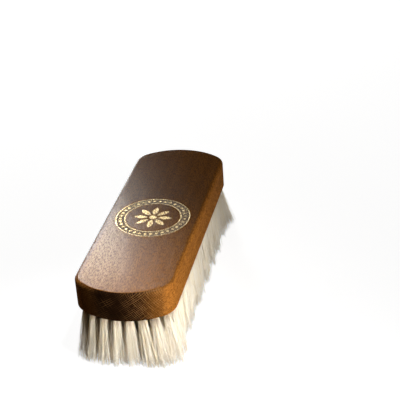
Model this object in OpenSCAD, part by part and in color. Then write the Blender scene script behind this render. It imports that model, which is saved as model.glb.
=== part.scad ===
// Clothes brush: one wooden back, hair tufts set in drilled holes, a wire anchor in each hole,
// and a foil emblem stamped into the top. Millimetres, long axis on X, standing on its hair at z = 0.
// The front end is at -X, and the right side is at -Y.

/* [Wooden back] */
// Length of the wooden back
back_length = 175; // [150:1:220]
// Width of the wooden back
back_width = 57; // [50:0.5:68]
// Thickness of the wooden back
back_thickness = 18; // [15:0.5:26]
// Radius of the four corners, seen from above
corner_radius = 13.5; // [8:0.5:20]
// Rounding of the top edge
top_round = 2; // [0.5:0.25:4]
// Rounding of the bottom edge
bottom_round = 1.2; // [0.4:0.1:2]

/* [Tufts] */
// Diameter of each tuft hole
hole_d = 4.2; // [3.6:0.1:4.6]
// Depth of each tuft hole
hole_depth = 11; // [8:0.5:13]
// From the edge of the wood to the centres of the outer tufts
tuft_margin = 5; // [4:0.25:6]
// Spacing of the tufts along a ring
tuft_pitch = 7.1; // [7:0.1:10]
// Least radius that an inner ring of tufts turns on
ring_bend = 6; // [3:0.5:7]
// Clearance round a tuft in its hole
tuft_clearance = 0.05; // [0.02:0.01:0.1]

/* [Hair] */
// Length of the hair below the wood
hair_length = 31; // [20:0.5:45]
// Length over which a tuft stays bound together below the wood
root_length = 3; // [1:0.5:6]
// Lean of the tips, as a share of a tuft's distance from the middle
tip_lean = 0.036; // [0:0.003:0.045]
// Radius of a lock of hair where it leaves its root
lock_root_r = 0.85; // [0.5:0.05:0.9]
// Radius of a lock of hair at its tip
lock_tip_r = 1.4; // [0.8:0.1:1.5]
// From the middle of a tuft to the middle of each lock, at the tips
lock_spread = 1.9; // [1.3:0.1:1.9]

/* [Anchors] */
// Thickness of the flat anchor wire
wire_thickness = 0.4; // [0.25:0.05:0.6]
// Height of the flat anchor wire
wire_height = 1.8; // [1:0.1:2.5]
// How far each end of a wire bites into the wood
wire_bite = 0.4; // [0.2:0.05:0.8]
// Thickness of the hair folded over a wire
fold_thickness = 1.2; // [0.6:0.1:2]

/* [Emblem] */
// Diameter of the emblem
emblem_d = 45; // [36:1:48]
// How far the emblem sits in front of the middle of the wood
emblem_shift = 4; // [0:0.5:8]
// Width of the emblem's band, with its two gold lines
band_width = 6; // [4:0.5:8]
// Width of each gold line
line_width = 0.7; // [0.4:0.1:1.2]
// Beads on the band
bead_count = 36; // [12:1:40]
// Diameter of a bead
bead_d = 1.8; // [1:0.1:2.2]
// Petals of the rosette
petal_count = 8; // [5:1:9]
// Length of a petal
petal_length = 9; // [6:0.5:10]
// Width of a petal
petal_width = 3.6; // [2:0.2:4]
// Diameter of the button in the middle of the rosette
button_d = 4.5; // [2:0.5:6]
// Depth that the emblem is stamped into the wood
stamp_depth = 0.2; // [0.1:0.05:0.5]
// Thickness of the foil
foil_thickness = 0.08; // [0.04:0.01:0.1]

/* [Hidden] */
$fn = 64;
half_length = back_length / 2;
half_width = back_width / 2;
wood_z = hair_length;
top_z = wood_z + back_thickness;
hole_end_z = wood_z + hole_depth;
root_z = wood_z - root_length;
root_r = hole_d / 2 - tuft_clearance;

// Each bowed end is one arc, which meets its corners where a 3-4-5 triangle points.
// The gap between the centres of the arcs is kept to a fine step, so that the arcs meet exactly.
BOW_COS = 0.8;
BOW_SIN = 0.6;
bow_step = 0.005;
bow_gap = round((half_width - corner_radius) / BOW_SIN / bow_step) * bow_step;
corner_y = bow_gap * BOW_SIN;
corner_r = half_width - corner_y;
end_r = corner_r + bow_gap;
bow_x = half_length - end_r;
corner_x = bow_x + bow_gap * BOW_COS;
// How far out the cuts between the arcs are drawn, in half widths
cut_reach = 5;

// Rings of tufts follow the outline of the wood, and a row on the middle line closes the pattern
OUTER = 0;
MIDDLE = 1;
INNER = 2;
RING_COUNT = 3;
ring_step = (half_width - tuft_margin) / RING_COUNT;
FRONT = -1;
REAR = 1;
LEFT = 1;
RIGHT = -1;

// Each tuft is three locks of three sides, drawn on three levels from the root to the tip
LOCKS = 3;
SIDES = 3;
LEVELS = [0, 0.5, 1];
// How far the locks reach up into their root
lock_sink = 0.4;
lock_start_r = root_r - lock_root_r - tuft_clearance;
// Above 1, the hair leans most near its tips
lean_curve = 1.5;

WOOD = [0.52, 0.33, 0.17];
HAIR = [0.89, 0.84, 0.72];
STEEL = [0.62, 0.63, 0.65];
GOLD = [0.83, 0.66, 0.32];
UMBER = [0.22, 0.13, 0.08];

// Outline at a distance in from the edge of the wood: an arc at the end, one at the corner, a straight side
function bow_r(inset) = end_r - inset;
function bend_r(inset) = max(corner_r - inset, min(ring_bend, half_width - inset));
function bend_y(inset) = half_width - inset - bend_r(inset);
function bow_angle(inset) = asin(bend_y(inset) / (bow_r(inset) - bend_r(inset)));
function bend_x(inset) = bow_x + (bow_r(inset) - bend_r(inset)) * cos(bow_angle(inset));
function arc_length(r, angle) = r * angle * PI / 180;
function bow_length(inset) = arc_length(bow_r(inset), bow_angle(inset));
function bend_length(inset) = arc_length(bend_r(inset), 90 - bow_angle(inset));
function quarter_length(inset) = bow_length(inset) + bend_length(inset) + bend_x(inset);

// Point at a distance along a quarter of that outline, from the middle of the end to the middle of the side
function on_outline(inset, way) =
    way < bow_length(inset)
        ? polar([bow_x, 0], bow_r(inset), 180 / PI * way / bow_r(inset))
    : way < bow_length(inset) + bend_length(inset)
        ? polar([bend_x(inset), bend_y(inset)], bend_r(inset),
                bow_angle(inset) + 180 / PI * (way - bow_length(inset)) / bend_r(inset))
    : [quarter_length(inset) - way, half_width - inset];
function polar(centre, r, angle) = centre + r * [cos(angle), sin(angle)];

// Places of the tufts on a quarter of a ring, and on half of the middle row
function ring_inset(ring) = tuft_margin + ring * ring_step;
function ring_tufts(ring, end, side) =
    let (inset = ring_inset(ring), count = round(quarter_length(inset) / tuft_pitch))
    [for (i = [0 : count - 1])
        let (p = on_outline(inset, (i + 0.5) * quarter_length(inset) / count))
        [end * p.x, side * p.y]];
function row_tufts(end) =
    let (reach = half_length - half_width, count = round(reach / tuft_pitch + 0.5))
    [for (i = [0 : count - 1]) [end * (i + 0.5) * reach / (count - 0.5), 0]];
function whole_ring(ring) =
    [for (end = [FRONT, REAR], side = [LEFT, RIGHT]) each ring_tufts(ring, end, side)];
function whole_row() = [for (end = [FRONT, REAR]) each row_tufts(end)];
function all_tufts() = [for (ring = [OUTER, MIDDLE, INNER]) each whole_ring(ring), each whole_row()];

// Corners of one lock on one level: its share of the way down is 0 at the root and 1 at the tip
function lock_corners(place, heading, share) =
    let (
        axis = place * (1 + tip_lean * pow(share, lean_curve)),
        centre = polar(axis, lock_start_r + share * (lock_spread - lock_start_r), heading),
        r = lock_root_r + share * (lock_tip_r - lock_root_r),
        z = (1 - share) * (root_z + lock_sink)
    )
    [for (corner = [0 : SIDES - 1])
        let (p = polar(centre, r, heading + corner * 360 / SIDES)) [p.x, p.y, z]];
function lock_points(places) =
    [for (place = places, lock = [0 : LOCKS - 1], share = LEVELS)
        each lock_corners(place, atan2(place.y, place.x) + lock * 360 / LOCKS, share)];

// Faces of one lock whose first point has this number, clockwise from outside
function lock_faces(first) =
    let (last = first + SIDES * (len(LEVELS) - 1))
    concat(
        [[for (i = [SIDES - 1 : -1 : 0]) first + i]],
        [[for (i = [0 : SIDES - 1]) last + i]],
        [for (level = [0 : len(LEVELS) - 2], i = [0 : SIDES - 1], half = [0, 1])
            let (
                above = first + SIDES * level,
                below = above + SIDES,
                next = (i + 1) % SIDES
            )
            half == 0 ? [above + i, above + next, below + next] : [above + i, below + next, below + i]]
    );

// Side view of the wood, from its middle out to a radius, with both edges rounded
module edge_profile(reach) {
    square([reach - max(top_round, bottom_round), back_thickness]);
    translate([0, bottom_round])
        square([reach, back_thickness - top_round - bottom_round]);
    translate([reach - top_round, back_thickness - top_round])
        intersection() {
            circle(top_round);
            square(top_round);
        }
    translate([reach - bottom_round, bottom_round])
        intersection() {
            circle(bottom_round);
            translate([0, -bottom_round]) square(bottom_round);
        }
}

// Part of a turned body between two directions, given as points well outside it, seen from its centre
module sector(r, from, to) {
    intersection() {
        rotate_extrude() edge_profile(r);
        linear_extrude(back_thickness) polygon([[0, 0], from, to]);
    }
}

// A straight middle, two bowed ends, and a rounded corner between each end and each side
module wood_block() {
    slope = cut_reach * half_width * [BOW_COS, BOW_SIN];
    for (end = [0, 1]) mirror([end, 0, 0]) {
        rotate([90, 0, 90])
            linear_extrude(corner_x)
                for (flip = [0, 1]) mirror([flip, 0]) edge_profile(half_width);
        translate([bow_x, 0, 0]) sector(end_r, [slope.x, -slope.y], slope);
        for (side = [0, 1]) mirror([0, side, 0])
            translate([corner_x, corner_y, 0]) sector(corner_r, slope, [0, slope.y]);
    }
}

// Flat wires across the grain, one under the fold of each tuft
module wires(places, play = 0) {
    for (place = places)
        translate([place.x, place.y, hole_end_z - fold_thickness - wire_height / 2])
            cube([wire_thickness + 2 * play, hole_d + 2 * wire_bite, wire_height + 2 * play], center = true);
}

module wooden_back() {
    color(WOOD) difference() {
        translate([0, 0, wood_z]) wood_block();
        for (place = all_tufts())
            translate([place.x, place.y, wood_z - hole_depth]) cylinder(d = hole_d, h = 2 * hole_depth);
        wires(all_tufts());
        stamp(2 * stamp_depth) {
            ring(emblem_d, band_width);
            rosette();
        }
    }
}

// Tufts: each root fills its hole and is slit for its wire, and its locks spread to the cut tips
module tufts(places) {
    color(HAIR) union() {
        difference() {
            for (place = places)
                translate([place.x, place.y, root_z]) cylinder(r = root_r, h = hole_end_z - root_z);
            wires(places, tuft_clearance);
        }
        polyhedron(
            lock_points(places),
            [for (i = [0 : len(places) * LOCKS - 1]) each lock_faces(i * SIDES * len(LEVELS))]
        );
    }
}

module anchors(places) {
    color(STEEL) wires(places);
}

// Emblem: a dark band with beads between two gold lines, round a rosette
module ring(d, width) {
    difference() {
        circle(d = d);
        circle(d = d - 2 * width);
    }
}

module beads() {
    for (i = [0 : bead_count - 1])
        rotate(i * 360 / bead_count) translate([(emblem_d - band_width) / 2, 0]) circle(d = bead_d);
}

module petal() {
    arc_r = (petal_length * petal_length / petal_width + petal_width) / 4;
    intersection_for (side = [-1, 1])
        translate([petal_length / 2, side * (arc_r - petal_width / 2)]) circle(arc_r);
}

module rosette() {
    petal_start = button_d / 2 + line_width;
    circle(d = button_d);
    for (i = [0 : petal_count - 1])
        rotate(i * 360 / petal_count) translate([petal_start, 0]) petal();
}

// Raises a flat drawing from the bottom of the stamp
module stamp(height) {
    translate([-emblem_shift, 0, top_z - stamp_depth]) linear_extrude(height) children();
}

module foil() {
    stamp(foil_thickness) children();
}

module foil_band() {
    color(UMBER) foil() difference() {
        ring(emblem_d - 2 * line_width, band_width - 2 * line_width);
        beads();
    }
}

module foil_lines() {
    color(GOLD) foil() {
        ring(emblem_d, line_width);
        ring(emblem_d - 2 * band_width + 2 * line_width, line_width);
    }
}

module foil_beads() {
    color(GOLD) foil() beads();
}

module foil_rosette() {
    color(GOLD) foil() rosette();
}

wooden_back();
tufts(ring_tufts(OUTER, FRONT, LEFT));  // outer_tufts_front_left
tufts(ring_tufts(OUTER, FRONT, RIGHT));  // outer_tufts_front_right
tufts(ring_tufts(OUTER, REAR, LEFT));  // outer_tufts_rear_left
tufts(ring_tufts(OUTER, REAR, RIGHT));  // outer_tufts_rear_right
tufts(ring_tufts(MIDDLE, FRONT, LEFT));  // middle_tufts_front_left
tufts(ring_tufts(MIDDLE, FRONT, RIGHT));  // middle_tufts_front_right
tufts(ring_tufts(MIDDLE, REAR, LEFT));  // middle_tufts_rear_left
tufts(ring_tufts(MIDDLE, REAR, RIGHT));  // middle_tufts_rear_right
tufts(ring_tufts(INNER, FRONT, LEFT));  // inner_tufts_front_left
tufts(ring_tufts(INNER, FRONT, RIGHT));  // inner_tufts_front_right
tufts(ring_tufts(INNER, REAR, LEFT));  // inner_tufts_rear_left
tufts(ring_tufts(INNER, REAR, RIGHT));  // inner_tufts_rear_right
tufts(row_tufts(FRONT));  // centre_tufts_front
tufts(row_tufts(REAR));  // centre_tufts_rear
anchors(whole_ring(OUTER));  // outer_anchors
anchors(whole_ring(MIDDLE));  // middle_anchors
anchors(whole_ring(INNER));  // inner_anchors
anchors(whole_row());  // centre_anchors
foil_band();
foil_lines();
foil_beads();
foil_rosette();
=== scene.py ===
# %% [markdown]
# # A clothes brush, dressed in Blender
#
# The brush is a block of stained beech with 162 tufts of pale hair in its underside and a foil emblem on
# its top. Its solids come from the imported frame, in metres. It stands on its hair at z = 0, with its front
# end at -X and its right side at -Y. The rigid solids stay and get their finishes, and real hair grows in
# place of the plain tufts.

# %% Load the frame
from math import cos, pi, radians, sin

import bmesh
import bpy
from mathutils import Matrix, Vector


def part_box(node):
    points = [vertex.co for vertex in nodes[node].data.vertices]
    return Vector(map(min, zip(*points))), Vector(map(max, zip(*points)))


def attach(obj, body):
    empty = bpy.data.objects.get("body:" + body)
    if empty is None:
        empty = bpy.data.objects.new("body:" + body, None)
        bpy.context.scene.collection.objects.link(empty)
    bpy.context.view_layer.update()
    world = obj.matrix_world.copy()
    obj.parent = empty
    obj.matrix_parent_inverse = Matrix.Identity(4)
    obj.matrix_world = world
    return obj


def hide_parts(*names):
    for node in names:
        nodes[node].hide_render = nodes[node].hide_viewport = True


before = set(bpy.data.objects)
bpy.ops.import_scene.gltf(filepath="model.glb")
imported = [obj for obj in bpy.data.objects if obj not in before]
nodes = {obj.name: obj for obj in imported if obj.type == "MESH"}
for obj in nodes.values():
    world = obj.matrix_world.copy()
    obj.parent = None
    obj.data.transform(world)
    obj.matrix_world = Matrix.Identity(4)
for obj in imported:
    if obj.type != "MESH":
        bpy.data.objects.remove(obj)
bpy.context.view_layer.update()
MM = 0.001
wood_low, wood_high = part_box("wooden_back")
print(f"{len(nodes)} solids; the wood is {(wood_high - wood_low) / MM} mm")

# %% [markdown]
# ## Camera
#
# A photograph has one camera that explains all its outlines. This one was worked out from the edges of the
# wood: where it stands, where it points, how far it leans and how long its lens is. A camera looks along
# its own -Z axis, so its axes are built from the direction it points in, and the lean is a turn about that
# axis.

# %% Camera
FRAME_PIXELS = 400
FOCAL_PIXELS = 1170
SENSOR_WIDTH = 36
UP = Vector((0, 0, 1))
camera_place = Vector((-588.4, -169.7, 392.9)) * MM
camera_heading = radians(13.48)
camera_pitch = radians(28.82)
camera_lean = radians(-3.92)


def add_camera():
    """Adds the camera at its place, level first, and then leaned about the line it looks along."""
    level_ahead = Vector((cos(camera_heading), sin(camera_heading), 0))
    ahead = level_ahead * cos(camera_pitch) - UP * sin(camera_pitch)
    right = ahead.cross(UP).normalized()
    level = Matrix((right, right.cross(ahead), -ahead)).transposed().to_4x4()
    lens = bpy.data.cameras.new("camera")
    lens.sensor_width = SENSOR_WIDTH
    lens.lens = SENSOR_WIDTH * FOCAL_PIXELS / FRAME_PIXELS
    camera = bpy.data.objects.new("camera", lens)
    camera.matrix_world = Matrix.Translation(camera_place) @ level @ Matrix.Rotation(camera_lean, 4, "Z")
    bpy.context.scene.collection.objects.link(camera)
    bpy.context.scene.camera = camera
    print(f"camera with a {lens.lens:.1f} mm lens, {camera_place.length:.2f} m from the brush")


add_camera()

# %% [markdown]
# ## Node helpers
#
# Materials and hair are both trees of nodes. A few short helpers keep the trees readable: one adds a node
# and joins it up, and the others are the sums and mixes that every tree needs.


# %% Node helpers
def put(tree, kind, inputs=None, **options):
    """Adds a node, sets its options, gives each input a value or a link, and returns its outputs."""
    made = tree.nodes.new(kind)
    for option, value in options.items():
        setattr(made, option, value)
    for key, value in (inputs or {}).items():
        if isinstance(value, bpy.types.NodeSocket):
            tree.links.new(value, made.inputs[key])
        else:
            made.inputs[key].default_value = value
    return made.outputs


def calc(tree, operation, *values):
    """A sum on numbers."""
    return put(tree, "ShaderNodeMath", dict(enumerate(values)), operation=operation)[0]


def vector(tree, operation, *values):
    """A sum on vectors."""
    return put(tree, "ShaderNodeVectorMath", dict(enumerate(values)), operation=operation)[0]


def scaled(tree, arrow, factor):
    """A vector times a number."""
    return put(tree, "ShaderNodeVectorMath", {0: arrow, "Scale": factor}, operation="SCALE")[0]


def fade(tree, value, low, high, start=0.0, end=1.0):
    """Goes smoothly from start to end as the value goes from low to high."""
    limits = {"Value": value, "From Min": low, "From Max": high, "To Min": start, "To Max": end}
    return put(tree, "ShaderNodeMapRange", limits, interpolation_type="SMOOTHSTEP")[0]


def tint(tree, share, first, second):
    """Mixes two colours."""
    return put(tree, "ShaderNodeMix", {0: share, 6: first, 7: second}, data_type="RGBA")[2]


def noise(tree, place, detail=2.0, roughness=0.5):
    """Soft random values, one unit wide."""
    settings = {"Vector": place, "Scale": 1.0, "Detail": detail, "Roughness": roughness}
    return put(tree, "ShaderNodeTexNoise", settings)[0]


def stretched(tree, length, width):
    """Object coordinates in units of a length along the brush and a width across it."""
    cell = put(tree, "ShaderNodeCombineXYZ", {"X": length, "Y": width, "Z": width})[0]
    return vector(tree, "DIVIDE", put(tree, "ShaderNodeTexCoord")["Object"], cell)


def seen_directly(tree):
    """1 for what the camera sees, straight or in a reflection or through glass, and 0 for bounced light."""
    path = put(tree, "ShaderNodeLightPath")
    mirrored = calc(tree, "MAXIMUM", path["Is Glossy Ray"], path["Is Transmission Ray"])
    return calc(tree, "MAXIMUM", path["Is Camera Ray"], mirrored)


# %% [markdown]
# ## Studio
#
# Product light is built from soft lamps with one job each. A low key lamp at the front right, narrowed by a
# grid, lights the right side, the hair and the right half of the front end. A small lamp above lifts the
# front of the top. A third lamp stands behind on the left, just where the varnish mirrors it to the camera,
# and shows as a pale sheen on the near left of the top. A wide, low lamp behind fills the rear and the
# left. The room and the floor add a little warm light. The floor seems white to the camera and in
# reflections, and keeps the shadow of the brush.

# %% Lamps
# Places, aims and sizes are in millimetres, and spreads in degrees
LAMPS = {
    "key_lamp": {
        "place": (-430, -545, 100), "aim": (-105, -10, 28), "size": (120, 120), "spread": 34, "watts": 0.385,
    },
    "top_lamp": {
        "place": (-70, -120, 450), "aim": (-105, 0, 49), "size": (60, 60), "spread": 30, "watts": 0.058,
    },
    "sheen_lamp": {
        "place": (1048, 479, 687), "aim": (0, 0, 49), "size": (220, 220), "spread": 180, "watts": 4.8,
    },
    "fill_lamp": {
        "place": (880, 560, 80), "aim": (0, 0, 20), "size": (600, 140), "spread": 180, "watts": 4.5,
    },
}


def add_softbox(name, place, aim, size, spread, watts):
    """Adds a rectangular lamp that points at a spot, with a beam of the given spread."""
    lamp = bpy.data.lights.new(name, "AREA")
    lamp.shape = "RECTANGLE"
    lamp.size = size[0] * MM
    lamp.size_y = size[1] * MM
    lamp.spread = radians(spread)
    lamp.energy = watts
    box = bpy.data.objects.new(name, lamp)
    start = Vector(place) * MM
    turn = (Vector(aim) * MM - start).to_track_quat("-Z", "Y")
    box.matrix_world = Matrix.Translation(start) @ turn.to_matrix().to_4x4()
    bpy.context.scene.collection.objects.link(box)
    print(f"{name}: {watts} W, {start.length:.2f} m away")


bpy.context.scene.view_settings.view_transform = "Standard"
for name, settings in LAMPS.items():
    add_softbox(name, **settings)

# %% Room and floor
ROOM_LIGHT = 0.022
ROOM_COLOUR = (1, 0.8, 0.52, 1)
FLOOR_SIZE = 30
FLOOR_GLOW = 0.9
FLOOR_SHADE = (0.20, 0.14, 0.08, 1)
FLOOR_SEEN = (0.35, 0.35, 0.35, 1)


def add_room():
    """Gives the whole room a plain, even light."""
    world = bpy.data.worlds.new("room")
    world.use_nodes = True
    world.node_tree.nodes["Background"].inputs["Color"].default_value = ROOM_COLOUR
    world.node_tree.nodes["Background"].inputs["Strength"].default_value = ROOM_LIGHT
    bpy.context.scene.world = world


def add_floor():
    """Adds the floor, which glows where it is seen, and can be looked through from below."""
    shape = bpy.data.meshes.new("floor")
    half = FLOOR_SIZE / 2
    corners = [(-half, -half, 0), (half, -half, 0), (half, half, 0), (-half, half, 0)]
    shape.from_pydata(corners, [], [(0, 1, 2, 3)])
    floor = bpy.data.objects.new("floor", shape)
    bpy.context.scene.collection.objects.link(floor)
    paper = bpy.data.materials.new("floor_paper")
    paper.use_nodes = True
    tree = paper.node_tree
    tree.nodes.remove(tree.nodes["Principled BSDF"])
    seen = seen_directly(tree)
    matt = put(tree, "ShaderNodeBsdfDiffuse", {"Color": tint(tree, seen, FLOOR_SHADE, FLOOR_SEEN)})[0]
    glow = put(tree, "ShaderNodeEmission", {"Strength": calc(tree, "MULTIPLY", seen, FLOOR_GLOW)})[0]
    sheet = put(tree, "ShaderNodeAddShader", {0: matt, 1: glow})[0]
    under = put(tree, "ShaderNodeNewGeometry")["Backfacing"]
    clear = put(tree, "ShaderNodeBsdfTransparent")[0]
    both = put(tree, "ShaderNodeMixShader", {0: under, 1: sheet, 2: clear})[0]
    tree.links.new(both, tree.nodes["Material Output"].inputs["Surface"])
    shape.materials.append(paper)


add_room()
add_floor()
print(f"room with a light of {ROOM_LIGHT}, and a floor {FLOOR_SIZE} m wide")

# %% [markdown]
# ## Effects that several finishes share
#
# Three patterns come back in more than one finish, so each is a node group with its own inputs. Beech has
# short dark flecks and long faint streaks, and the foil pressed on it shows them too. Sanding and drawing
# leave fine parallel scratches. Clean, even lines would look printed, so each line has its own force,
# breaks off along its length, and shows only in patches. Handling rubs thin finishes away in small spots.

# %% Beech grain
# Limits between which the flecks and the streaks fade in
FLECK_EDGES = (0.43, 0.6)
STREAK_EDGES = (0.3, 0.7)


def new_group(name, inputs, output_names):
    """Starts a shader node group of numbers, and returns it with its inner ends."""
    group = bpy.data.node_groups.new(name, "ShaderNodeTree")
    for label, value in inputs.items():
        socket = group.interface.new_socket(label, in_out="INPUT", socket_type="NodeSocketFloat")
        socket.default_value = value
    for label in output_names:
        group.interface.new_socket(label, in_out="OUTPUT", socket_type="NodeSocketFloat")
    return group, group.nodes.new("NodeGroupInput").outputs, group.nodes.new("NodeGroupOutput").inputs


def make_beech_grain():
    """Flecks and streaks that run along the brush, and show as dots on its ends."""
    sizes = {
        "Fleck length": 2.3 * MM, "Fleck width": 0.48 * MM, "Streak length": 70 * MM, "Streak width": 3 * MM,
    }
    group, given, result = new_group("beech_grain", sizes, ("Flecks", "Streaks"))
    short = stretched(group, given["Fleck length"], given["Fleck width"])
    long = stretched(group, given["Streak length"], given["Streak width"])
    flecks = noise(group, short, detail=1.0, roughness=0.6)
    streaks = noise(group, long, detail=4.0)
    group.links.new(fade(group, flecks, *FLECK_EDGES), result["Flecks"])
    group.links.new(fade(group, streaks, *STREAK_EDGES), result["Streaks"])
    return group


beech_grain = make_beech_grain()
print(beech_grain.name, "with", len(beech_grain.nodes), "nodes")

# %% Scratches
# Limits between which a line fades out at its edges, and its force, its dashes and its patches fade in
LINE_EDGES = (0.2, 1.0)
FORCE_EDGES = (-0.1, 0.5)
DASH_EDGES = (0.25, 0.65)
PATCH_EDGES = (0.33, 0.62)


def make_scratches():
    """Thin lines at one angle across the width of the brush, each with its own force, broken into patches."""
    sizes = {
        "Spacing": 1.0 * MM, "Line width": 0.17 * MM, "Dash length": 4 * MM, "Angle": radians(45),
        "Wobble": 1.2 * MM, "Wobble size": 14 * MM, "Patch length": 48 * MM, "Patch width": 18 * MM,
    }
    group, given, result = new_group("scratches", sizes, ("Lines",))
    here = put(group, "ShaderNodeTexCoord")["Object"]
    turn = {"Vector": here, "Angle": given["Angle"]}
    across = put(group, "ShaderNodeVectorRotate", turn, rotation_type="X_AXIS")[0]
    turned = put(group, "ShaderNodeSeparateXYZ", {0: across})
    drift = noise(group, stretched(group, given["Wobble size"], given["Wobble size"]))
    way = calc(group, "ADD", turned["Y"], calc(group, "MULTIPLY", drift, given["Wobble"]))
    from_line = calc(group, "PINGPONG", way, calc(group, "MULTIPLY", given["Spacing"], 0.5))
    line = fade(group, calc(group, "DIVIDE", from_line, given["Line width"]), *LINE_EDGES, 1.0, 0.0)
    number = calc(group, "ROUND", calc(group, "DIVIDE", way, given["Spacing"]))
    force = put(group, "ShaderNodeTexWhiteNoise", {"W": number}, noise_dimensions="1D")["Value"]
    line = calc(group, "MULTIPLY", line, fade(group, force, *FORCE_EDGES))
    along = calc(group, "DIVIDE", turned["Z"], given["Dash length"])
    dashes = noise(group, put(group, "ShaderNodeCombineXYZ", {"X": along, "Y": number, "Z": force})[0])
    line = calc(group, "MULTIPLY", line, fade(group, dashes, *DASH_EDGES))
    patches = noise(group, stretched(group, given["Patch length"], given["Patch width"]))
    patch = fade(group, patches, *PATCH_EDGES)
    group.links.new(calc(group, "MULTIPLY", line, patch), result["Lines"])
    return group


scratches = make_scratches()
print(scratches.name, "with", len(scratches.nodes), "nodes")

# %% Rubbed spots
RUB_LIMIT = 0.75
RUB_EDGE = 0.06


def make_rubbed_spots():
    """Spots where a thin finish has been rubbed away: a share of the surface, in specks of one size."""
    group, given, result = new_group("rubbed_spots", {"Speck": 0.9 * MM, "Rubbed": 0.1}, ("Bare",))
    specks = noise(group, stretched(group, given["Speck"], given["Speck"]), detail=3.0, roughness=0.65)
    limit = calc(group, "SUBTRACT", RUB_LIMIT, given["Rubbed"])
    bare = fade(group, specks, limit, calc(group, "ADD", limit, RUB_EDGE))
    group.links.new(bare, result["Bare"])
    return group


rubbed_spots = make_rubbed_spots()
print(rubbed_spots.name, "with", len(rubbed_spots.nodes), "nodes")

# %% [markdown]
# ## Stained beech
#
# The back is one block of beech under a brown stain and a satin varnish. A picture of wood would need a
# photograph, and would stretch on the edges, so the grain is worked out at each point of the solid instead.
# The ends show end grain, which drinks more stain and is darker. Its near-black colour, which also runs up
# the rounded edges above the ends, is partly painted shade. Where the ends turn into the sides, sanding marks
# cross each other. The varnish is smooth on the top and dull on the sides. It sinks into the flecks, so they
# are rougher, duller and a little lower.


# %% Material helpers
def new_material(name, **constants):
    """Starts a material, with the values that are the same all over its surface."""
    material = bpy.data.materials.new(name)
    material.use_nodes = True
    shader = material.node_tree.nodes["Principled BSDF"]
    for label, value in constants.items():
        shader.inputs[label.replace("_", " ")].default_value = value
    return material, material.node_tree, shader


def wire_up(tree, shader, links):
    """Links values that change over the surface to the shader."""
    for label, socket in links.items():
        tree.links.new(socket, shader.inputs[label])


def relief(tree, height, depth):
    """Turns heights into a bent surface normal."""
    return put(tree, "ShaderNodeBump", {"Strength": 1.0, "Distance": depth, "Height": height})[0]


def dress(material, *names):
    """Gives a finish to solids that stay as they are."""
    for name in names:
        nodes[name].material_slots[0].material = material
    print(material.name, "on", ", ".join(names))


# %% Stained beech
FLAT = (1.0, 1.0, 0.0)
STAIN_LIGHT = (0.306, 0.115, 0.019, 1)
STAIN_DARK = (0.18, 0.064, 0.010, 1)
FLECK_BROWN = (0.10, 0.036, 0.007, 1)
# Near-black: the darker end grain, and also painted shade on the ends and the rounded edges above them
END_GRAIN_AND_SHADE = (0.005, 0.002, 0.001, 1)
HATCH_BROWN = (0.42, 0.2, 0.065, 1)
VARNISH = (1, 0.77, 0.5, 1)
STREAK_SHARE = 0.45
BLOTCH_SHARE = 0.5
FLECK_SHARE = 0.85
END_GRAIN_AND_SHADE_SHARE = 0.99
HATCH_SHARE = 0.38
SIDE_ROUGH = 0.65
TOP_ROUGH = 0.115
FLECK_ROUGH = 0.07
SIDE_SHINE = 0.01
TOP_SHINE = 0.1
FLECK_DULLING = 0.6
BLOTCH_SIZE = 28 * MM
GRAIN_RELIEF = 0.011 * MM
HATCH_HEIGHT = 0.6
RISING_MARKS = {"Angle": radians(33), "Spacing": 1.0 * MM}
FALLING_MARKS = {"Angle": radians(-56), "Spacing": 1.1 * MM}
# Limits on the way that the surface faces, between which each zone fades in
TOP_EDGES = (0.6, 0.98)
# The wall zone reaches up onto the rounded edges, so the end colour paints shade on the rims above the ends
WALL_AND_RIM_SHADE_EDGES = (0.998, 0.95)
# The end colour is strongest in the middle of each end and fades toward its corners, partly as painted shade
END_GRAIN_AND_SHADE_EDGES = (0.85, 0.25)
SANDED_START = (-0.1, 0.3)
SANDED_STOP = (0.85, 0.5)


def beech_zones(tree):
    """How far a point faces up, its share of end grain and painted end shade, and its share of sanded end."""
    normal = put(tree, "ShaderNodeTexCoord")["Normal"]
    rise = calc(tree, "ABSOLUTE", put(tree, "ShaderNodeSeparateXYZ", {0: normal})["Z"])
    # Walls, and the rounded edges above them, where the end colour is painted shade
    wall_and_shaded_rim = fade(tree, rise, *WALL_AND_RIM_SHADE_EDGES)
    plan = vector(tree, "NORMALIZE", vector(tree, "MULTIPLY", normal, FLAT))
    sideways = calc(tree, "ABSOLUTE", put(tree, "ShaderNodeSeparateXYZ", {0: plan})["Y"])
    end = calc(tree, "MULTIPLY", fade(tree, sideways, *END_GRAIN_AND_SHADE_EDGES), wall_and_shaded_rim)
    corner = calc(tree, "MULTIPLY", fade(tree, sideways, *SANDED_START), fade(tree, sideways, *SANDED_STOP))
    return rise, end, calc(tree, "MULTIPLY", corner, wall_and_shaded_rim)


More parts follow.
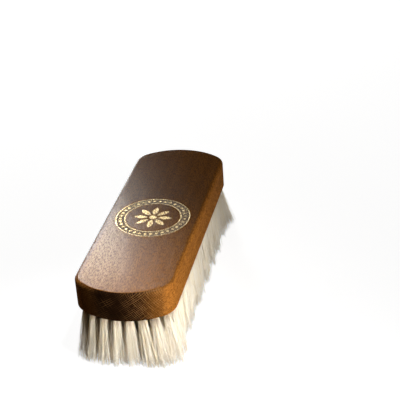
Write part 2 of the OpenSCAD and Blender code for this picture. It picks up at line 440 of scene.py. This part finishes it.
def make_stained_beech():
    """Stain, flecks, end grain with painted shade, and sanding marks, under a varnish smooth on the top only.
    """
    material, tree, shader = new_material("stained_beech_finish", Specular_Tint=VARNISH)
    grain = put(tree, "ShaderNodeGroup", node_tree=beech_grain)
    rise, end, sanded = beech_zones(tree)
    rising = put(tree, "ShaderNodeGroup", RISING_MARKS, node_tree=scratches)["Lines"]
    falling = put(tree, "ShaderNodeGroup", FALLING_MARKS, node_tree=scratches)["Lines"]
    hatch = calc(tree, "MULTIPLY", calc(tree, "MAXIMUM", rising, falling), sanded)
    blotch = noise(tree, stretched(tree, BLOTCH_SIZE, BLOTCH_SIZE))
    cloud = calc(tree, "MULTIPLY", blotch, BLOTCH_SHARE)
    tone = calc(tree, "MULTIPLY_ADD", grain["Streaks"], STREAK_SHARE, cloud)
    colour = tint(tree, tone, STAIN_DARK, STAIN_LIGHT)
    colour = tint(tree, calc(tree, "MULTIPLY", grain["Flecks"], FLECK_SHARE), colour, FLECK_BROWN)
    # End grain, darkened further as painted shade on the ends
    colour = tint(tree, calc(tree, "MULTIPLY", end, END_GRAIN_AND_SHADE_SHARE), colour, END_GRAIN_AND_SHADE)
    colour = tint(tree, calc(tree, "MULTIPLY", hatch, HATCH_SHARE), colour, HATCH_BROWN)
    gloss = fade(tree, rise, *TOP_EDGES, SIDE_ROUGH, TOP_ROUGH)
    rough = calc(tree, "MULTIPLY_ADD", grain["Flecks"], FLECK_ROUGH, gloss)
    smooth = calc(tree, "MULTIPLY_ADD", grain["Flecks"], -FLECK_DULLING, 1.0)
    shine = calc(tree, "MULTIPLY", smooth, fade(tree, rise, *TOP_EDGES, SIDE_SHINE, TOP_SHINE))
    height = calc(tree, "SUBTRACT", calc(tree, "MULTIPLY", hatch, HATCH_HEIGHT), grain["Flecks"])
    bent = relief(tree, height, GRAIN_RELIEF)
    finish = {"Base Color": colour, "Roughness": rough, "Specular IOR Level": shine, "Normal": bent}
    wire_up(tree, shader, finish)
    return material


dress(make_stained_beech(), "wooden_back")

# %% [markdown]
# ## Foil emblem
#
# The emblem is foil, pressed into the wood with a hot die. Gold foil is a metal film, and the brown of the
# band is a film of pigment over gold. Both are thinner than the grain under them, so they show a little of
# it, and both are rubbed through in specks: the gold to the stained wood, and the brown to the gold.

# %% Foil emblem
GOLD_BRIGHT = (0.56, 0.42, 0.20, 1)
GOLD_DEEP = (0.36, 0.26, 0.11, 1)
UMBER_LIGHT = (0.10, 0.042, 0.012, 1)
UMBER_DARK = (0.06, 0.024, 0.007, 1)
FOIL_RELIEF = 0.02 * MM
FOIL_SHINE = 0.1
FOIL_DULLING = 0.15


def make_foil(name, bright, deep, metallic, under, under_metallic, rough, rubbed):
    """A thin film on the wood, rubbed through in specks to what lies under it."""
    material, tree, shader = new_material(name, Specular_IOR_Level=FOIL_SHINE)
    grain = put(tree, "ShaderNodeGroup", node_tree=beech_grain)
    bare = put(tree, "ShaderNodeGroup", {"Rubbed": rubbed}, node_tree=rubbed_spots)["Bare"]
    film = tint(tree, grain["Streaks"], deep, bright)
    colour = tint(tree, bare, film, under)
    metal = calc(tree, "MULTIPLY_ADD", bare, under_metallic - metallic, metallic)
    uneven = calc(tree, "MAXIMUM", bare, grain["Flecks"])
    rough = calc(tree, "MULTIPLY_ADD", uneven, FOIL_DULLING, rough)
    dents = relief(tree, calc(tree, "MULTIPLY", grain["Flecks"], -1.0), FOIL_RELIEF)
    wire_up(tree, shader, {"Base Color": colour, "Metallic": metal, "Roughness": rough, "Normal": dents})
    return material


gold_foil = make_foil(
    "gold_foil_finish", GOLD_BRIGHT, GOLD_DEEP, metallic=0.9,
    under=STAIN_DARK, under_metallic=0.0, rough=0.24, rubbed=0.22,
)
brown_foil = make_foil(
    "brown_foil_finish", UMBER_LIGHT, UMBER_DARK, metallic=0.0,
    under=GOLD_DEEP, under_metallic=1.0, rough=0.36, rubbed=0.2,
)
dress(gold_foil, "foil_lines", "foil_beads", "foil_rosette")
dress(brown_foil, "foil_band")

# %% [markdown]
# ## Anchor wires
#
# A flat steel wire across each hole holds its tuft by the fold. The wires hide in the wood, but anyone who
# opens the model finds them, so they get drawn steel with the fine lines of the die.

# %% Anchor wires
STEEL_BRIGHT = (0.62, 0.62, 0.63, 1)
STEEL_DULL = (0.36, 0.35, 0.34, 1)
STEEL_ROUGH = 0.3
DULL_ROUGH = 0.2
DIE_LINES = {"Spacing": 0.3 * MM, "Line width": 0.1 * MM, "Angle": radians(90), "Wobble": 0.05 * MM}
DULL_SPOTS = {"Speck": 1.5 * MM, "Rubbed": 0.2}


def make_drawn_steel():
    """Bright steel with the fine lines of the die, and dull in spots."""
    material, tree, shader = new_material("drawn_steel_finish", Metallic=1.0)
    drawn = put(tree, "ShaderNodeGroup", DIE_LINES, node_tree=scratches)["Lines"]
    dull = put(tree, "ShaderNodeGroup", DULL_SPOTS, node_tree=rubbed_spots)["Bare"]
    colour = tint(tree, calc(tree, "MAXIMUM", drawn, dull), STEEL_BRIGHT, STEEL_DULL)
    rough = calc(tree, "MULTIPLY_ADD", dull, DULL_ROUGH, STEEL_ROUGH)
    wire_up(tree, shader, {"Base Color": colour, "Roughness": rough})
    return material


dress(make_drawn_steel(), "outer_anchors", "middle_anchors", "inner_anchors", "centre_anchors")

# %% [markdown]
# ## Hair finish
#
# Each hair has its own shade between ivory and cream, and a few are grey-brown. All are darker at the root:
# that is painted shade, where the wood and the tufts around it shade the hair.
# A hair is far too thin to paint, so its shade is stored in a UV map: one direction is a random number for
# the hair, and the other is the way from its root to its tip.

# %% Hair finish
IVORY = (0.95, 0.845, 0.705, 1)
CREAM = (0.91, 0.74, 0.475, 1)
GREY_BROWN = (0.58, 0.42, 0.22, 1)
# Painted shade: each hair darkens toward its root, under the wood, where the shade falls
ROOT_SHADE = (0.30, 0.18, 0.075, 1)
HAIR_MAP = "OFBake"
SHADES = 160
HAIR_ROUGH = 0.4
ROUGH_RANGE = 0.2
INNER_LIGHT = {"Subsurface_Weight": 1.0, "Subsurface_Scale": 0.2 * MM, "Subsurface_Radius": (1, 1, 1)}
# Limits between which each colour fades in
IVORY_EDGES = (0.3, 0.65)
GREY_EDGES = (0.3, 0.22)
ROOT_SHADE_EDGES = (0.3, 0.0)


def make_pale_hair():
    """Shades of pale hair from each hair's UV strip, painted shade at the root, and light that enters the
    hair.
    """
    material, tree, shader = new_material("pale_hair_finish", **INNER_LIGHT)
    place = put(tree, "ShaderNodeSeparateXYZ", {0: put(tree, "ShaderNodeUVMap", uv_map=HAIR_MAP)[0]})
    which = calc(tree, "MULTIPLY", place["X"], float(SHADES))
    shade = put(tree, "ShaderNodeTexNoise", {"W": which, "Scale": 1.0}, noise_dimensions="1D")[0]
    colour = tint(tree, fade(tree, shade, *IVORY_EDGES), CREAM, IVORY)
    colour = tint(tree, fade(tree, shade, *GREY_EDGES), colour, GREY_BROWN)
    # Painted shade near the root
    colour = tint(tree, fade(tree, place["Y"], *ROOT_SHADE_EDGES), colour, ROOT_SHADE)
    rough = calc(tree, "MULTIPLY_ADD", shade, ROUGH_RANGE, HAIR_ROUGH)
    wire_up(tree, shader, {"Base Color": colour, "Roughness": rough})
    return material


pale_hair = make_pale_hair()
print(pale_hair.name, "with", SHADES, "shades")

# %% [markdown]
# ## Growing the hair
#
# A tuft is a bundle of hairs, folded in half over its wire and pulled into its hole. It leaves the wood as
# a tight round bundle, spreads to meet its neighbours, strays a little to one side, and is cut level with
# them. At the ends of the brush, where tufts have room, they fan out further. Nearly fifty thousand hairs
# can't be placed by hand, and hair curves would not be meshes, so Geometry Nodes copy each tuft's place 300
# times, put a thin three-sided strand on each copy, and bend every strand in one formula.

# %% Hair sizes
HAIR_SIZES = {
    "Hair radius": 0.085 * MM,
    "Root radius": 1.95 * MM,
    "Root height": 2.0 * MM,
    "Tip radius": 6.0 * MM,
    "Tuft wander": 2.4 * MM,
    "Hair wander": 1.6 * MM,
    "Corner flare": 4.0 * MM,
    "Corner reach": 14 * MM,
    "End fan": 3.2 * MM,
    "End sweep": 1.4 * MM,
    "Lock size": 1.6 * MM,
    "Lock pull": 0.25,
    "Bow": 0.5 * MM,
    "Unevenness": 0.7 * MM,
}
HAIRS_PER_TUFT = 300
HAIR_SEED = 12
print(f"{HAIRS_PER_TUFT} hairs to a tuft, up to {HAIR_SIZES['Unevenness'] / MM:.1f} mm short of the cut")

# %% Hair helpers
FIELD_KINDS = {"VALUE": "FLOAT", "VECTOR": "VECTOR"}


def captured(tree, geometry, fields):
    """Keeps values as they are on this geometry, so that later nodes can still read them."""
    keeper = tree.nodes.new("GeometryNodeCaptureAttribute")
    tree.links.new(geometry, keeper.inputs["Geometry"])
    for name, field in fields.items():
        keeper.capture_items.new(FIELD_KINDS[field.type], name)
        tree.links.new(field, keeper.inputs[name])
    return keeper.outputs


def polar(tree, radius, angle):
    """A flat vector of a length at an angle."""
    x = calc(tree, "MULTIPLY", radius, calc(tree, "COSINE", angle))
    y = calc(tree, "MULTIPLY", radius, calc(tree, "SINE", angle))
    return put(tree, "ShaderNodeCombineXYZ", {"X": x, "Y": y})[0]


# %% Chances of a hair
HALF = (0.5, 0.5, 0.5)
CORNER_PLACE = (75 * MM, 21 * MM, 0)
FAN_START = 58 * MM
FAN_FULL = 76 * MM
FAN_WIDTH = 14 * MM
TO_THE_RIGHT = (0, -1, 0)
CUT_POWER = 3.0
GIRTH_LEAST = 0.75
GIRTH_RANGE = 0.5


def end_flare(tree, given, place):
    """How far a tuft's tips lean out at the ends of the brush, where the tufts have room to fan out."""
    level = vector(tree, "MULTIPLY", place, FLAT)
    mirrored = vector(tree, "ABSOLUTE", level)
    away = put(tree, "ShaderNodeSeparateXYZ", {0: mirrored})
    at_end = fade(tree, away["X"], FAN_START, FAN_FULL)
    off_middle = fade(tree, away["Y"], 0.0, FAN_WIDTH)
    gap = put(tree, "ShaderNodeVectorMath", {0: mirrored, 1: CORNER_PLACE}, operation="DISTANCE")["Value"]
    near = fade(tree, calc(tree, "DIVIDE", gap, given["Corner reach"]), 0.0, 1.0, 1.0, 0.0)
    forward = calc(tree, "MULTIPLY", near, given["Corner flare"])
    aside = calc(tree, "MULTIPLY", calc(tree, "MULTIPLY", at_end, off_middle), given["End fan"])
    way = put(tree, "ShaderNodeCombineXYZ", {"X": forward, "Y": aside})[0]
    outward = vector(tree, "MULTIPLY", vector(tree, "SIGN", level), way)
    sweep = scaled(tree, TO_THE_RIGHT, calc(tree, "MULTIPLY", at_end, given["End sweep"]))
    return vector(tree, "ADD", outward, sweep)


def hair_chances(tree, given):
    """What is decided for each hair, mostly by chance: its root, tip, bow, length, girth, shade and turn."""
    def chance(number):
        seed = calc(tree, "ADD", given["Seed"], number)
        return put(tree, "FunctionNodeRandomValue", {"Seed": seed}, data_type="FLOAT")[1]

    def turn(number):
        return calc(tree, "MULTIPLY", chance(number), 2 * pi)

    place = put(tree, "GeometryNodeInputPosition")[0]
    reach = calc(tree, "SQRT", chance(1))
    root = polar(tree, calc(tree, "MULTIPLY", reach, given["Root radius"]), turn(2))
    spread = scaled(tree, root, calc(tree, "DIVIDE", given["Tip radius"], given["Root radius"]))
    draw = {"Vector": place, "W": given["Seed"]}
    whim = put(tree, "ShaderNodeTexWhiteNoise", draw, noise_dimensions="4D")["Color"]
    stray = vector(tree, "MULTIPLY", vector(tree, "SUBTRACT", whim, HALF), FLAT)
    spread = vector(tree, "ADD", spread, scaled(tree, stray, given["Tuft wander"]))
    spread = vector(tree, "ADD", spread, end_flare(tree, given, place))
    target = vector(tree, "MULTIPLY", vector(tree, "ADD", place, spread), FLAT)
    cell = put(tree, "ShaderNodeCombineXYZ", {axis: given["Lock size"] for axis in "XYZ"})[0]
    corner = vector(tree, "SNAP", target, cell)
    jitter = put(tree, "ShaderNodeTexWhiteNoise", {"Vector": corner})["Color"]
    shift = scaled(tree, vector(tree, "MULTIPLY", jitter, FLAT), given["Lock size"])
    lock = vector(tree, "ADD", corner, shift)
    pull = scaled(tree, vector(tree, "SUBTRACT", lock, target), given["Lock pull"])
    wander = polar(tree, calc(tree, "MULTIPLY", chance(9), given["Hair wander"]), turn(10))
    girth = calc(tree, "MULTIPLY_ADD", chance(6), GIRTH_RANGE, GIRTH_LEAST)
    return {
        "Place": place,
        "Root": root,
        "Tip": vector(tree, "ADD", vector(tree, "ADD", spread, pull), wander),
        "Bow": polar(tree, calc(tree, "MULTIPLY", chance(3), given["Bow"]), turn(4)),
        "Cut": calc(tree, "MULTIPLY", calc(tree, "POWER", chance(5), CUT_POWER), given["Unevenness"]),
        "Girth": calc(tree, "MULTIPLY", girth, given["Hair radius"]),
        "Shade": chance(7),
        "Turn": turn(8),
    }


# %% Path of a hair
UV_STRIP = 0.004
UV_SLANT = 0.5


def hair_position(tree, given, hair, section):
    """Where a point of a strand goes, from its share of the way down: 0 at the root and 1 at the tip."""
    share = put(tree, "ShaderNodeSeparateXYZ", {0: section})["Z"]
    axis = vector(tree, "MULTIPLY", hair["Place"], FLAT)
    reach = vector(tree, "SUBTRACT", hair["Tip"], hair["Root"])
    across = vector(tree, "ADD", hair["Root"], scaled(tree, reach, share))
    belly = scaled(tree, hair["Bow"], calc(tree, "SINE", calc(tree, "MULTIPLY", share, pi)))
    turned = {"Vector": vector(tree, "MULTIPLY", section, FLAT), "Angle": hair["Turn"]}
    body = scaled(tree, put(tree, "ShaderNodeVectorRotate", turned, rotation_type="Z_AXIS")[0], hair["Girth"])
    wood = put(tree, "ShaderNodeSeparateXYZ", {0: hair["Place"]})["Z"]
    start = calc(tree, "ADD", wood, given["Root height"])
    drop = calc(tree, "MULTIPLY_ADD", calc(tree, "SUBTRACT", hair["Cut"], start), share, start)
    height = put(tree, "ShaderNodeCombineXYZ", {"Z": drop})[0]
    spot = vector(tree, "ADD", vector(tree, "ADD", axis, across), vector(tree, "ADD", belly, body))
    return vector(tree, "ADD", spot, height)


def hair_map(tree, hair, section):
    """The hair's own strip of the UV map: its shade across, and its share of the way down."""
    side = put(tree, "ShaderNodeSeparateXYZ", {0: section})
    around = calc(tree, "MULTIPLY_ADD", side["Y"], UV_SLANT, side["X"])
    strip = calc(tree, "MULTIPLY", around, UV_STRIP / 2)
    across = calc(tree, "ADD", calc(tree, "MULTIPLY_ADD", hair["Shade"], 1 - 2 * UV_STRIP, UV_STRIP), strip)
    return put(tree, "ShaderNodeCombineXYZ", {"X": across, "Y": side["Z"]})[0]


# %% Hair tree
STRAND_SIDES = 3
STRAND_STEPS = 5
TIP_TAPER = 0.6


def make_hair_tree():
    """Builds the tree that turns the places of tufts into tufts of hair."""
    tree = bpy.data.node_groups.new("hair_tufts", "GeometryNodeTree")
    tree.interface.new_socket("Hair", in_out="OUTPUT", socket_type="NodeSocketGeometry")
    kinds = {"Tufts": "Geometry", "Hairs per tuft": "Int", "Seed": "Int", "Finish": "Material"}
    kinds.update({name: "Float" for name in HAIR_SIZES})
    keys = {}
    for name, kind in kinds.items():
        socket = tree.interface.new_socket(name, in_out="INPUT", socket_type="NodeSocket" + kind)
        keys[name] = socket.identifier
    given = tree.nodes.new("NodeGroupInput").outputs
    strand_sizes = {
        "Vertices": STRAND_SIDES, "Side Segments": STRAND_STEPS,
        "Radius Top": TIP_TAPER, "Radius Bottom": 1.0, "Depth": 1.0,
    }
    cone = put(tree, "GeometryNodeMeshCone", strand_sizes, fill_type="NGON")["Mesh"]
    strand = captured(tree, cone, {"Section": put(tree, "GeometryNodeInputPosition")[0]})
    copying = {"Geometry": given["Tufts"], "Amount": given["Hairs per tuft"]}
    copies = put(tree, "GeometryNodeDuplicateElements", copying, domain="POINT")["Geometry"]
    hair = captured(tree, copies, hair_chances(tree, given))
    planting = {"Points": hair["Geometry"], "Instance": strand["Geometry"]}
    planted = put(tree, "GeometryNodeInstanceOnPoints", planting)[0]
    loose = put(tree, "GeometryNodeRealizeInstances", {"Geometry": planted})[0]
    bent = {"Geometry": loose, "Position": hair_position(tree, given, hair, strand["Section"])}
    shaped = put(tree, "GeometryNodeSetPosition", bent)[0]
    mapping = {"Geometry": shaped, "Name": HAIR_MAP, "Value": hair_map(tree, hair, strand["Section"])}
    mapped = put(tree, "GeometryNodeStoreNamedAttribute", mapping, data_type="FLOAT2", domain="CORNER")[0]
    smooth = put(tree, "GeometryNodeSetShadeSmooth", {"Geometry": mapped})[0]
    done = put(tree, "GeometryNodeSetMaterial", {"Geometry": smooth, "Material": given["Finish"]})[0]
    tree.links.new(done, tree.nodes.new("NodeGroupOutput").inputs["Hair"])
    print(f"hair tree with {len(tree.nodes)} nodes")
    return tree, keys


hair_tree, hair_keys = make_hair_tree()

# %% [markdown]
# ## One piece of hair for each solid
#
# The tufts of one solid share a piece of hair. Their places are read from the solid: each tuft ends in a
# flat disc at the bottom of its hole, and the middle of the disc is the middle of the tuft. The modifier's
# result then becomes a plain mesh, which takes the place of the solid and rides with the wood.

# %% Grow the hair
WELD = 0.01 * MM


def tuft_places(node):
    """Middles of the flat discs in which a solid's tufts end, brought down to the underside of the wood."""
    welded = bmesh.new()
    welded.from_mesh(node.data)
    bmesh.ops.remove_doubles(welded, verts=welded.verts, dist=WELD)
    hole_end = max(v.co.z for v in welded.verts)
    waiting = [v for v in welded.verts if hole_end - v.co.z < WELD]
    found = set()
    places = []
    for first in waiting:
        if first in found:
            continue
        disc = [first]
        found.add(first)
        for corner in disc:
            for edge in corner.link_edges:
                other = edge.other_vert(corner)
                if other not in found and hole_end - other.co.z < WELD:
                    found.add(other)
                    disc.append(other)
        middle = [(min(v.co[i] for v in disc) + max(v.co[i] for v in disc)) / 2 for i in range(2)]
        places.append((round(middle[0], 6), round(middle[1], 6), wood_low.z))
    welded.free()
    return sorted(places)


def grow(name):
    """Grows the hair of one solid, and puts it in the place of the solid."""
    points = bpy.data.meshes.new(name)
    points.from_pydata(tuft_places(nodes[name]), [], [])
    piece = bpy.data.objects.new(name.replace("tufts", "hair"), points)
    bpy.context.scene.collection.objects.link(piece)
    growth = piece.modifiers.new("growth", "NODES")
    growth.node_group = hair_tree
    values = dict(HAIR_SIZES, **{"Hairs per tuft": HAIRS_PER_TUFT, "Seed": HAIR_SEED, "Finish": pale_hair})
    for label, value in values.items():
        growth[hair_keys[label]] = value
    bpy.context.view_layer.update()
    grown = piece.evaluated_get(bpy.context.evaluated_depsgraph_get())
    strands = bpy.data.meshes.new_from_object(grown)
    piece.modifiers.remove(growth)
    piece.data = strands
    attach(piece, "root")
    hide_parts(name)
    print(f"{piece.name}: {len(points.vertices)} tufts, {len(strands.polygons)} faces")


for name in sorted(nodes):
    if "tufts" in name:
        grow(name)
